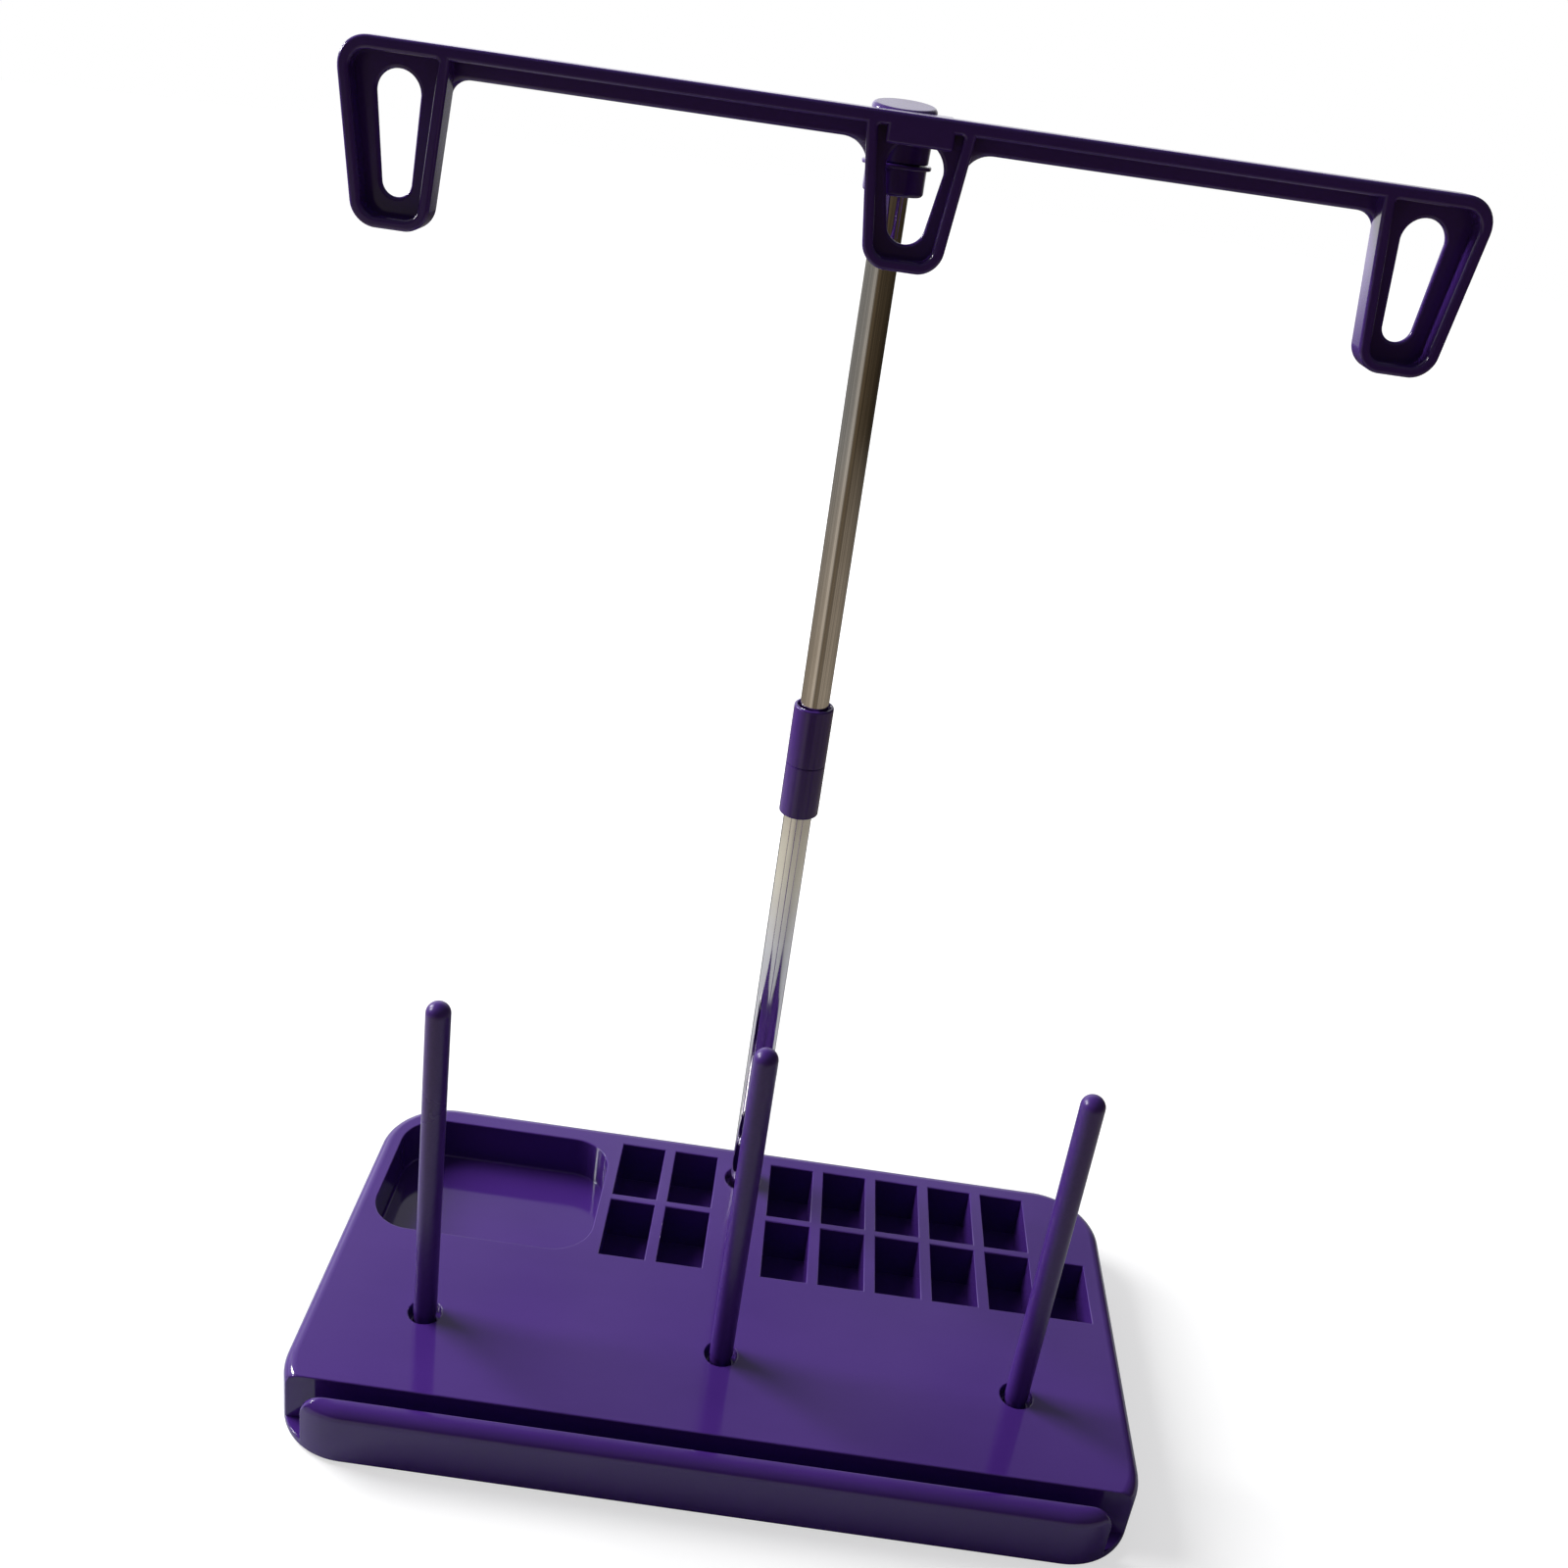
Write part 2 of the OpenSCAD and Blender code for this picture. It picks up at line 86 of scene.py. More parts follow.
def rod(name, axis, low_z, high_z, r, steps=64):
    """An upright cylinder about an axis (x, y), as a new object with its place in its mesh."""
    bpy.ops.object.select_all(action="DESELECT")
    middle = (axis[0], axis[1], (low_z + high_z) / 2)
    bpy.ops.mesh.primitive_cylinder_add(vertices=steps, radius=r, depth=high_z - low_z, location=middle)
    piece = bpy.context.object
    piece.name = name
    bpy.ops.object.transform_apply()
    for point in piece.data.vertices:
        point.co.z = high_z if point.co.z > middle[2] else low_z
    return piece


def pick(piece, kind, test):
    """Opens a piece in edit mode, with only the faces, edges or points selected that pass a test."""
    bpy.ops.object.select_all(action="DESELECT")
    bpy.context.view_layer.objects.active = piece
    bpy.ops.object.mode_set(mode="EDIT")
    bpy.ops.mesh.select_mode(type=kind)
    bpy.ops.mesh.select_all(action="DESELECT")
    mesh = bmesh.from_edit_mesh(piece.data)
    mesh.normal_update()
    parts = {"FACE": mesh.faces, "EDGE": mesh.edges, "VERT": mesh.verts}[kind]
    for part in parts:
        if test(part):
            part.select_set(True)
    mesh.select_flush_mode()
    bmesh.update_edit_mesh(piece.data)


def close():
    """Leaves edit mode."""
    bpy.ops.object.mode_set(mode="OBJECT")


def extrude(x, y, z):
    """Extrudes what is selected by a distance along each axis."""
    bpy.ops.mesh.extrude_region_move(TRANSFORM_OT_translate={"value": (x, y, z)})


def round_edges(piece, r, steps, test):
    """Rounds the edges that pass a test to a radius."""
    pick(piece, "EDGE", test)
    bpy.ops.mesh.bevel(offset=r, segments=steps, profile=0.5, clamp_overlap=False)
    close()


def combine(piece, other, operation):
    """Cuts another object out of a piece, or welds it on, and removes that object."""
    bpy.ops.object.select_all(action="DESELECT")
    bpy.context.view_layer.objects.active = piece
    modifier = piece.modifiers.new("Combine", "BOOLEAN")
    modifier.operation = operation
    modifier.solver = "EXACT"
    modifier.object = other
    bpy.ops.object.modifier_apply(modifier=modifier.name)
    bpy.data.objects.remove(other)


def is_upright(edge):
    """True for an edge that runs straight up."""
    a, b = (point.co for point in edge.verts)
    return abs(a.x - b.x) < tiny and abs(a.y - b.y) < tiny


def is_at(edge, z):
    """True for an edge that lies at a height."""
    return all(abs(point.co.z - z) < tiny for point in edge.verts)


def is_sharp(edge):
    """True for an outer edge between two faces that meet at an angle."""
    return edge.is_convex and edge.calc_face_angle(0) > sharp_angle


def faces_up(face):
    """True for a face that looks up."""
    return face.normal.z > 0.9


def faces_down(face):
    """True for a face that looks down."""
    return face.normal.z < -0.9


def is_any(part):
    """True for every part."""
    return True


def finish_surface(piece):
    """Smooth shading across the rounded edges, with flat faces kept flat."""
    pick(piece, "FACE", is_any)
    bpy.ops.mesh.remove_doubles(threshold=tiny)
    bpy.ops.mesh.dissolve_degenerate(threshold=tiny)
    close()
    piece.select_set(True)
    bpy.ops.object.shade_smooth_by_angle(angle=sharp_angle)
    modifier = piece.modifiers.new("Normals", "WEIGHTED_NORMAL")
    modifier.keep_sharp = True
    bpy.ops.object.modifier_apply(modifier=modifier.name)


def axis_of(node):
    """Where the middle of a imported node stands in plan."""
    low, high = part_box(node)
    return (low.x + high.x) / 2, (low.y + high.y) / 2


def rounded_block(name, low, high, r, steps):
    """A box whose four upright edges are round."""
    piece = block(name, low, high)
    round_edges(piece, r, steps, is_upright)
    return piece


base = rounded_block("base_body", base_low, base_high, base_corner_r, 24)
round_edges(base, base_edge_r, 8, lambda edge: is_at(edge, base_top))

# The store: pockets in two rows on either side of the mast, and the tray to their left
store_depth = 13.8 * mm
store_z = base_top - store_depth
pocket_w, pocket_l = 13.4 * mm, 24 * mm
pocket_gap_x, pocket_gap_y = 3.6 * mm, 2.6 * mm
pocket_back_rim = 7.1 * mm
pocket_mast_gap = 8.8 * mm
columns_left, columns_right = 2, 5
column_pitch = pocket_w + pocket_gap_x
back_row_y = base_high.y - pocket_back_rim - pocket_l
front_row_y = back_row_y - pocket_l - pocket_gap_y
first_left_x = -pocket_mast_gap - columns_left * column_pitch + pocket_gap_x
last_right_x = pocket_mast_gap + columns_right * column_pitch

column_xs = [first_left_x + i * column_pitch for i in range(columns_left)]
column_xs += [pocket_mast_gap + i * column_pitch for i in range(columns_right)]
pocket_spots = [(x, y) for x in column_xs for y in (front_row_y, back_row_y)]
pocket_spots.append((last_right_x, front_row_y))
for x, y in pocket_spots:
    pocket = block("pocket_cut", (x, y, store_z), (x + pocket_w, y + pocket_l, base_top + past))
    combine(base, pocket, "DIFFERENCE")

tray_corner_r, tray_floor_r = 12 * mm, 0.7 * mm
tray_left_rim, tray_back_rim = 6.1 * mm, 8.2 * mm
tray_l = 50.4 * mm
tray_left_x = base_low.x + tray_left_rim
tray_right_x = first_left_x - pocket_gap_x
tray_back_y = base_high.y - tray_back_rim
tray_front_y = tray_back_y - tray_l
tray_low = (tray_left_x, tray_front_y, store_z)
tray_high = (tray_right_x, tray_back_y, base_top + past)
tray = rounded_block("tray_cut", tray_low, tray_high, tray_corner_r, 20)
round_edges(tray, tray_floor_r, 5, lambda edge: is_at(edge, store_z))
combine(base, tray, "DIFFERENCE")

# The sockets: a bore with a wider mouth for each pin and for the mast
mouth_depth = 3 * mm
mouth_z = base_top - mouth_depth
pin_axes = [axis_of("spool_pin_" + side) for side in ("left", "middle", "right")]
mast_axis = axis_of("mast_lower_tube")
pin_mouth_r, pin_bore_r = 4.5 * mm, 3.01 * mm
mast_mouth_r, mast_bore_r = 5.55 * mm, 4.01 * mm
sockets = [(axis, pin_mouth_r, pin_bore_r) for axis in pin_axes]
sockets.append((mast_axis, mast_mouth_r, mast_bore_r))
for axis, mouth_r, bore_r in sockets:
    socket = rod("socket_cut", axis, mouth_z, base_top + past, mouth_r)
    pick(socket, "FACE", faces_down)
    bpy.ops.mesh.inset(thickness=mouth_r - bore_r)
    extrude(0, 0, store_z - mouth_z)
    close()
    combine(base, socket, "DIFFERENCE")

# The slot, open at both ends, and what is cut away beyond the round ends of the lip
lip_t, lip_end_gap, lip_corner_r = 4.8 * mm, 8.5 * mm, 6 * mm
slot_w, slot_depth = 5.4 * mm, 14.8 * mm
lip_y = base_low.y + lip_t
lip_end_x = base_high.x - lip_end_gap
slot_back_y = lip_y + slot_w
slot_z = base_top - slot_depth
slot_low = (base_low.x - past, lip_y, slot_z)
slot_high = (base_high.x + past, slot_back_y, base_top + past)
combine(base, block("slot_cut", slot_low, slot_high), "DIFFERENCE")
for side in (-1, 1):
    inner_x = side * lip_end_x
    outer_x = side * (base_high.x + past)
    low = (min(inner_x, outer_x), base_low.y - past, slot_z)
    high = (max(inner_x, outer_x), lip_y + past, base_top)
    end = block("lip_end_cut", low, high)
    pick(end, "FACE", faces_up)
    extrude(0, 0, past)
    close()
    pick(end, "FACE", lambda face: face.normal.x * side < -0.9
         and face.calc_center_median().z > base_top)
    extrude(-side * lip_corner_r, 0, 0)
    close()
    round_edges(end, lip_corner_r, 12, lambda edge: is_at(edge, base_top) and not edge.is_convex
                and edge.calc_face_angle(0) > sharp_angle)
    combine(base, end, "DIFFERENCE")

round_edges(base, soft_edge, 3, is_sharp)

# The hollow underneath, which leaves walls around the store and the sockets, and screw bosses
hollow_front_y = slot_back_y + outer_wall
hollow_low = (base_low.x + outer_wall, base_low.y + outer_wall, base_low.z - past)
hollow_high = (base_high.x - outer_wall, base_high.y - outer_wall, base_top - top_wall)
hollow = rounded_block("hollow_cut", hollow_low, hollow_high, base_corner_r - outer_wall, 24)
pick(hollow, "FACE", is_any)
cut_at = (0, hollow_front_y, 0)
bpy.ops.mesh.bisect(plane_co=cut_at, plane_no=(0, 1, 0), use_fill=True, clear_inner=True)
close()

floor_z = store_z - floor_wall
store_back_y = back_row_y + pocket_l
odd_left_x, odd_right_x = last_right_x - pocket_gap_x, last_right_x + pocket_w
cells = (
    (tray_left_x, tray_right_x, tray_front_y, tray_back_y, tray_corner_r),
    (first_left_x, -pocket_mast_gap, front_row_y, store_back_y, 0),
    (pocket_mast_gap, odd_left_x, front_row_y, store_back_y, 0),
    (odd_left_x, odd_right_x, front_row_y, front_row_y + pocket_l, 0))
for left, right, front, back, r in cells:
    low = (left - cell_wall, front - cell_wall, floor_z)
    high = (right + cell_wall, back + cell_wall, base_top)
    cell = rounded_block("cell", low, high, r + cell_wall, 20) if r else block("cell", low, high)
    combine(hollow, cell, "DIFFERENCE")

socket_wall = 2 * mm
screw_boss_r, screw_hole_r, screw_depth = 3.45 * mm, 1.48 * mm, 9 * mm
screw_side_gap, screw_behind_pins, screw_before_pins = 14 * mm, 20 * mm, 13 * mm
pin_y = pin_axes[1][1]
screw_x = base_high.x - screw_side_gap
screw_axes = [(x, pin_y + screw_behind_pins) for x in (-screw_x, screw_x)]
screw_axes.append((screw_x, back_row_y + pocket_l / 3))
screw_axes += [(x / 2, pin_y - screw_before_pins) for x, y in (pin_axes[0], pin_axes[2])]
screw_axes.append((0, front_row_y + pocket_l / 3))
bosses = [(axis, mouth_r + socket_wall) for axis, mouth_r, bore_r in sockets]
bosses += [(axis, screw_boss_r) for axis in screw_axes]
for axis, r in bosses:
    combine(hollow, rod("boss", axis, floor_z, base_top, r, 48), "DIFFERENCE")
combine(base, hollow, "DIFFERENCE")
for axis in screw_axes:
    hole = rod("screw_hole", axis, floor_z - past, floor_z + screw_depth, screw_hole_r, 24)
    combine(base, hole, "DIFFERENCE")
finish_surface(base)


def add_node(tree, kind, inputs=(), **settings):
    """A shader node with its settings, and with values or links for some of its inputs."""
    node = tree.nodes.new("ShaderNode" + kind)
    for name, value in settings.items():
        setattr(node, name, value)
    for name, value in dict(inputs).items():
        if isinstance(value, bpy.types.NodeSocket):
            tree.links.new(value, node.inputs[name])
        else:
            node.inputs[name].default_value = value
    return node


def new_material(name):
    """An empty material, with its tree, its shader and the point in the piece's own frame."""
    material = bpy.data.materials.new(name)
    material.use_nodes = True
    tree = material.node_tree
    shader = tree.nodes["Principled BSDF"]
    place = add_node(tree, "TexCoord").outputs["Object"]
    return material, tree, shader, place


def noise(tree, place, per_metre, detail=2.0, roughness=0.5):
    """A noise value from 0 to 1, with so many lumps to the metre."""
    inputs = {"Vector": place, "Scale": per_metre, "Detail": detail, "Roughness": roughness}
    return add_node(tree, "TexNoise", inputs).outputs["Fac"]


def ranged(tree, value, low, high, from_low=0.3, from_high=0.7):
    """A value mapped to another range and clamped to it."""
    inputs = {"Value": value, "From Min": from_low, "From Max": from_high, "To Min": low, "To Max": high}
    return add_node(tree, "MapRange", inputs).outputs["Result"]


def blend_colours(tree, share, first, second):
    """A colour between two, by a share from 0 to 1."""
    mix = add_node(tree, "Mix", data_type="RGBA")
    for socket, value in (("Factor_Float", share), ("A_Color", first), ("B_Color", second)):
        target = next(i for i in mix.inputs if i.identifier == socket)
        if isinstance(value, bpy.types.NodeSocket):
            tree.links.new(value, target)
        else:
            target.default_value = value
    return next(o for o in mix.outputs if o.identifier == "Result_Color")


def add_bump(tree, shader, height, distance, strength):
    """Relief of a given height in metres."""
    inputs = {"Height": height, "Distance": distance, "Strength": strength}
    bump = add_node(tree, "Bump", inputs)
    tree.links.new(bump.outputs["Normal"], shader.inputs["Normal"])


def moulded_plastic(name, light, dark, low_rough=0.07, high_rough=0.12, grain=0.006 * mm):
    """Coloured plastic with faint flow marks, a fine orange peel, and handling that dulls it."""
    material, tree, shader, place = new_material(name)
    stretched = add_node(tree, "Mapping", {"Vector": place, "Scale": (1.0, 2.4, 1.6)}).outputs["Vector"]
    flow = noise(tree, stretched, 14, 4.0, 0.6)
    specks = noise(tree, place, 2600, 1.0)
    colour = blend_colours(tree, ranged(tree, flow, 0.0, 1.0), dark, light)
    deeper = tuple(0.86 * value for value in dark[:3]) + (1.0,)
    colour = blend_colours(tree, ranged(tree, specks, 0.0, 0.35, 0.55, 0.8), colour, deeper)
    tree.links.new(colour, shader.inputs["Base Color"])
    handled = noise(tree, place, 45, 5.0, 0.65)
    tree.links.new(ranged(tree, handled, low_rough, high_rough), shader.inputs["Roughness"])
    shader.inputs["IOR"].default_value = 1.5
    peel = noise(tree, place, 420, 2.0)
    add_bump(tree, shader, peel, grain, 0.35)
    return material


purple_light = (0.059, 0.0195, 0.184, 1.0)
purple_dark = (0.050, 0.0165, 0.161, 1.0)
purple = moulded_plastic("purple_moulding", purple_light, purple_dark)
base.data.materials.append(purple)
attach(base, "base")
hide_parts("base_shell")


# Bottom cover, screws and feet
#
# A flat plate in dull dark plastic closes the hollow from below. Six small steel screws hold it
# to the bosses, and four soft rubber feet are stuck in shallow recesses in it.

def give(node, material):
    """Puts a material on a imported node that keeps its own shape."""
    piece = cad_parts[node]
    piece.data.materials.clear()
    piece.data.materials.append(material)


cover_light, cover_dark = (0.04, 0.025, 0.1, 1.0), (0.03, 0.018, 0.08, 1.0)
give("bottom_cover", moulded_plastic("cover_plastic", cover_light, cover_dark,
                                     low_rough=0.5, high_rough=0.62, grain=0.06 * mm))

screw_steel, tree, shader, place = new_material("screw_steel")
turned = noise(tree, place, 900, 3.0)
steel_dark, steel_light = (0.34, 0.34, 0.35, 1.0), (0.5, 0.5, 0.51, 1.0)
steel = blend_colours(tree, ranged(tree, turned, 0.0, 1.0), steel_dark, steel_light)
tree.links.new(steel, shader.inputs["Base Color"])
tree.links.new(ranged(tree, turned, 0.28, 0.42), shader.inputs["Roughness"])
shader.inputs["Metallic"].default_value = 1.0
give("cover_screws", screw_steel)

foot_rubber, tree, shader, place = new_material("foot_rubber")
dust = noise(tree, place, 700, 4.0, 0.7)
rubber_clean, rubber_dusty = (0.012, 0.012, 0.013, 1.0), (0.03, 0.03, 0.032, 1.0)
rubber = blend_colours(tree, ranged(tree, dust, 0.0, 1.0), rubber_clean, rubber_dusty)
tree.links.new(rubber, shader.inputs["Base Color"])
tree.links.new(ranged(tree, dust, 0.72, 0.9), shader.inputs["Roughness"])
add_bump(tree, shader, dust, 0.08 * mm, 0.6)
for corner in ("front_left", "front_right", "back_left", "back_right"):
    give("foot_" + corner, foot_rubber)


# Spool pins
#
# Three turned pins in the same purple plastic, with round tops. They stand loose in the wide
# mouths of their sockets, and the thinner lower end of each reaches the bottom of its bore.

pin_r, pin_end_r = 3.2 * mm, 2.95 * mm
dome_r = pin_r - 0.03 * mm
pin_step_z = base_top + 0.4 * mm
pin_low, pin_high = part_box("spool_pin_left")
pin = rod("left_pin", pin_axes[0], pin_step_z, pin_high.z, pin_r)
pick(pin, "FACE", faces_down)
bpy.ops.mesh.inset(thickness=pin_r - pin_end_r)
extrude(0, 0, pin_low.z - pin_step_z)
close()
round_edges(pin, dome_r, 14, lambda edge: is_at(edge, pin_high.z))
round_edges(pin, soft_edge, 2, lambda edge: is_at(edge, pin_low.z))
finish_surface(pin)


def product(tree, first, second):
    """Two values multiplied."""
    return add_node(tree, "Math", {0: first, 1: second}, operation="MULTIPLY").outputs["Value"]


def turned_plastic(name, light, dark):
    """The same plastic with the faint rings of turning and a satin bloom from handling."""
    material, tree, shader, place = new_material(name)
    grain = noise(tree, place, 1500, 3.0, 0.6)
    colour = blend_colours(tree, ranged(tree, grain, 0.0, 1.0), dark, light)
    tree.links.new(colour, shader.inputs["Base Color"])
    shader.inputs["IOR"].default_value = 1.5
    worn = noise(tree, place, 60, 4.0, 0.6)
    tree.links.new(ranged(tree, worn, 0.26, 0.34), shader.inputs["Roughness"])
    flat = add_node(tree, "Mapping", {"Vector": place, "Scale": (0.04, 0.04, 1.0)}).outputs["Vector"]
    rings = noise(tree, flat, 1300, 2.0, 0.5)
    patches = ranged(tree, noise(tree, place, 22, 1.0), 0.15, 1.0, 0.4, 0.65)
    add_bump(tree, shader, product(tree, rings, patches), 0.018 * mm, 0.5)
    return material


pin.data.materials.append(turned_plastic("purple_turned", purple_light, purple_dark))
pins = [pin]
first_x, first_y = pin_axes[0]
for name, (x, y) in zip(("middle_pin", "right_pin"), pin_axes[1:]):
    copy = pin.copy()
    copy.data = pin.data.copy()
    copy.name = name
    copy.data.transform(Matrix.Translation((x - first_x, y - first_y, 0)))
    bpy.context.collection.objects.link(copy)
    pins.append(copy)
for copy, side in zip(pins, ("left", "middle", "right")):
    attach(copy, side + "_pin")
    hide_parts("spool_pin_" + side)


# Mast tubes
#
# Two lengths of the same bright chromed steel tube, cut square, with the edges of their ends
# broken. A steel pin inside both keeps them in line at the collar.

def tube(name, axis, low_z, high_z, r, bore_r, steps=96):
    """An upright tube: a cylinder whose caps are inset and joined through the middle."""
    piece = rod(name, axis, low_z, high_z, r, steps)
    pick(piece, "FACE", lambda face: abs(face.normal.z) > 0.9)
    bpy.ops.mesh.inset(thickness=r - bore_r, use_individual=True)
    bpy.ops.mesh.bridge_edge_loops()
    close()
    return piece


tube_r, tube_bore_r = 3.95 * mm, 3.15 * mm
tube_edge_r = 0.15 * mm

chrome, tree, shader, place = new_material("tube_chrome")
drawn = add_node(tree, "Mapping", {"Vector": place, "Scale": (1.0, 1.0, 0.02)}).outputs["Vector"]
draw_lines = noise(tree, drawn, 2600, 3.0, 0.6)
haze = noise(tree, place, 38, 5.0, 0.62)
hazy_metal, clear_metal = (0.66, 0.64, 0.6, 1.0), (0.76, 0.75, 0.72, 1.0)
metal = blend_colours(tree, ranged(tree, haze, 0.0, 1.0), hazy_metal, clear_metal)
tree.links.new(metal, shader.inputs["Base Color"])
tree.links.new(ranged(tree, draw_lines, 0.05, 0.13), shader.inputs["Roughness"])
shader.inputs["Metallic"].default_value = 1.0
add_bump(tree, shader, draw_lines, 0.004 * mm, 0.4)

for half in ("lower", "upper"):
    name, node, body = half + "_tube", "mast_" + half + "_tube", half + "_mast"
    low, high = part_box(node)
    piece = tube(name, mast_axis, low.z, high.z, tube_r, tube_bore_r)
    round_edges(piece, tube_edge_r, 2, is_sharp)
    finish_surface(piece)
    piece.data.materials.append(chrome)
    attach(piece, body)
    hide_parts(node)
give("joining_pin", screw_steel)


# Collar
#
# Two purple plastic sleeves, pressed on the tubes' ends so that they meet at a fine seam. The
# outer end of each is rounded, and opens in a wider ring around the tube.

collar_r, collar_bore_r, collar_ring_r = 5.5 * mm, 3.98 * mm, 4.725 * mm
collar_ring_depth = 1.2 * mm
collar_edge_r = 0.5 * mm
seam_edge_r = 0.14 * mm


def from_mast(edge):
    """How far an edge's first point stands from the mast's axis."""
    return (edge.verts[0].co.xy - Vector(mast_axis)).length


for half, outward in (("lower", -1), ("upper", 1)):
    name, node, body = half + "_collar", "collar_" + half, half + "_mast"
    low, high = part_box(node)
    end_z, seam_z = (high.z, low.z) if outward > 0 else (low.z, high.z)
    piece = tube(name, mast_axis, low.z, high.z, collar_r, collar_bore_r)
    ring_low_z, ring_high_z = sorted((end_z - outward * collar_ring_depth, end_z + outward * past))
    ring = rod("ring_cut", mast_axis, ring_low_z, ring_high_z, collar_ring_r, 96)
    combine(piece, ring, "DIFFERENCE")
    round_edges(piece, seam_edge_r, 2, lambda edge: is_at(edge, seam_z) and is_sharp(edge))
    round_edges(piece, collar_edge_r, 6, lambda edge: is_at(edge, end_z) and is_sharp(edge)
                and from_mast(edge) > collar_ring_r + tiny)
    finish_surface(piece)
    piece.data.materials.append(purple)
    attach(piece, body)
    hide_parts(node)


# Top sleeve
#
# A purple plastic cap, pressed on the top of the mast. Its thin flange carries the guide bar,
# which turns on the spigot above it.

sleeve_r, flange_r, spigot_r = 7.3 * mm, 8.3 * mm, 5.55 * mm
sleeve_edge_r, flange_edge_r = 1 * mm, 0.35 * mm
flange_t, spigot_h, cap_t = 1 * mm, 8.6 * mm, 1.4 * mm
sleeve_low, sleeve_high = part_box("mast_top_sleeve")
bearing_z = sleeve_high.z - spigot_h
sleeve = rod("top_sleeve", mast_axis, sleeve_low.z, bearing_z - flange_t, sleeve_r, 96)
pick(sleeve, "FACE", faces_up)
extrude(0, 0, 0)
widen = flange_r / sleeve_r
bpy.ops.transform.resize(value=(widen, widen, 1), center_override=(*mast_axis, bearing_z))
extrude(0, 0, flange_t)
bpy.ops.mesh.inset(thickness=flange_r - spigot_r)
extrude(0, 0, sleeve_high.z - bearing_z)
close()
pick(sleeve, "FACE", lambda face: faces_down(face) and face.calc_center_median().z < sleeve_low.z + tiny)
bpy.ops.mesh.inset(thickness=sleeve_r - collar_bore_r)
extrude(0, 0, sleeve_high.z - cap_t - sleeve_low.z)
close()
round_edges(sleeve, sleeve_edge_r, 6, lambda edge: is_at(edge, sleeve_low.z) and is_sharp(edge)
            and from_mast(edge) > spigot_r)
round_edges(sleeve, flange_edge_r, 3, lambda edge: is_sharp(edge) and from_mast(edge) > sleeve_r + tiny)
finish_surface(sleeve)
sleeve.data.materials.append(purple)
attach(sleeve, "upper_mast")
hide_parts("mast_top_sleeve")


# Guide bar
#
# One purple moulding: a rib with a thin web below its back edge, three tapering loops with rims,
# each with a thread opening, and a hub behind the middle loop that turns on the mast's spigot.

bar_low, bar_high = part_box("guide_bar")
bar_depth, bar_h, bar_rise = 8 * mm, 6.8 * mm, 11.5 * mm
rib_t, web_t, rim_t = 3.1 * mm, 2 * mm, 2.6 * mm
mid_shift = 0.8 * mm
bar_x = (bar_low.x + bar_high.x) / 2
mid_x = bar_x + mid_shift
bar_top = bearing_z + bar_rise
bar_front, bar_back = bar_low.y, bar_low.y + bar_depth
web_front = bar_back - web_t
loop_pitch = 118.7 * mm
loop_taper = 0.113
end_half_w, end_h = 13.4 * mm, 41 * mm
mid_half_w, mid_h = 12.8 * mm, 34 * mm
loop_outer_r, loop_bottom_r, loop_sharp_r = 7 * mm, 6 * mm, 0.8 * mm
lean = math.atan(loop_taper)


def runs_deep(edge):
    """True for an edge that runs from the front to the back."""
    a, b = (point.co for point in edge.verts)
    return abs(a.x - b.x) < tiny and abs(a.z - b.z) < tiny


def loop_block(name, x, half_w, height, inset, top_inset, front, back, r_left, r_right):
    """A tapering block with round corners: the outside of a loop, or the recess inside its rim."""
    side = inset / math.cos(lean)
    top_half = half_w - side - loop_taper * top_inset
    low_half = half_w - side - loop_taper * (height - inset)
    low_z, high_z = bar_top - height + inset, bar_top - top_inset
    piece = block(name, (x - top_half, front, low_z), (x + top_half, back, high_z))
    pick(piece, "FACE", faces_down)
    bpy.ops.transform.resize(value=(low_half / top_half, 1, 1), center_override=(x, front, low_z))
    close()
    wide = math.tan(math.pi / 4 + lean / 2)
    corners = [(1, low_z, (loop_bottom_r - inset) / wide), (-1, low_z, (loop_bottom_r - inset) / wide)]
    corners += [(-1, high_z, r_left * wide), (1, high_z, r_right * wide)]
    for sign, z, offset in corners:
        if offset > 0:
            round_edges(piece, offset, 12, lambda edge: runs_deep(edge) and is_at(edge, z)
                        and (edge.verts[0].co.x - x) * sign > 0)
    return piece


def eye(name, x, height, top_drop, top_r, bottom_rise, bottom_r):
    """A cutter for a thread opening: round above, and narrower and round below."""
    bpy.ops.object.select_all(action="DESELECT")
    top_z = bar_top - top_drop - top_r
    low_z = bar_top - height + bottom_rise + bottom_r
    middle, lying = (x, bar_back - web_t / 2, top_z), (math.pi / 2, 0, 0)
    bpy.ops.mesh.primitive_cylinder_add(vertices=64, radius=top_r, depth=4 * web_t,
                                        location=middle, rotation=lying)
    piece = bpy.context.object
    piece.name = name
    bpy.ops.object.transform_apply()
    pick(piece, "VERT", lambda point: point.co.z < top_z - tiny)
    narrow = bottom_r / top_r
    bpy.ops.transform.resize(value=(narrow, 1, narrow), center_override=(x, bar_back, top_z))
    bpy.ops.transform.translate(value=(0, 0, low_z - top_z))
    close()
    return piece


def end_loop(name, side, inset, top_inset, front, back, inner_r):
    """The outside or the recess of an end loop, whose outer top corner is the rounder one."""
    outer_r = loop_outer_r - inset
    radii = (inner_r, outer_r) if side > 0 else (outer_r, inner_r)
    x = bar_x + side * loop_pitch
    return loop_block(name, x, end_half_w, end_h, inset, top_inset, front, back, *radii)


def merge_flat(piece):
    """Makes one face of all that lie in one plane and touch."""
    pick(piece, "FACE", is_any)
    bpy.ops.mesh.remove_doubles(threshold=tiny)
    bpy.ops.mesh.dissolve_limited(angle_limit=math.radians(0.05))
    close()


